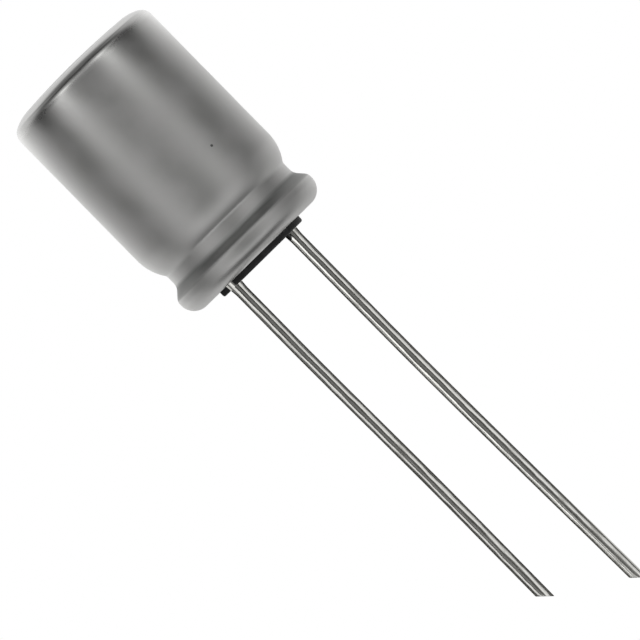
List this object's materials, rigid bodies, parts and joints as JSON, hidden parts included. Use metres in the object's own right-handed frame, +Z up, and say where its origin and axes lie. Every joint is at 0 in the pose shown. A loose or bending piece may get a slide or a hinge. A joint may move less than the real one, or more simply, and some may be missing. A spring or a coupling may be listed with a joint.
{
  "type": "aluminum polymer capacitor",
  "caption": "Radial polymer capacitor: bare aluminium can, grooved and curled round a black rubber bung, with tinned wire leads of unequal length for soldering through a board.",
  "frame": {"origin": "centre of the seating plane, level with the underside of the bung's pads and midway between the leads", "axes": "+Z up the can's axis to its crown, +X from the cathode lead to the anode lead"},
  "size_m": [0.008, 0.008, 0.0336],
  "materials": {
    "can_aluminium": "satin",
    "bung_rubber": "matte",
    "tinned_wire": "gloss",
    "tab_aluminium": "satin",
    "wound_foil": "matte",
    "winding_tape": "satin"
  },
  "bodies": {
    "root": {"can": "can_aluminium", "bung": "bung_rubber", "anode_wire": "tinned_wire", "cathode_wire": "tinned_wire", "anode_tab": "tab_aluminium", "cathode_tab": "tab_aluminium", "wound_element": "wound_foil", "closing_tape": "winding_tape"}
  },
  "joints": []
}
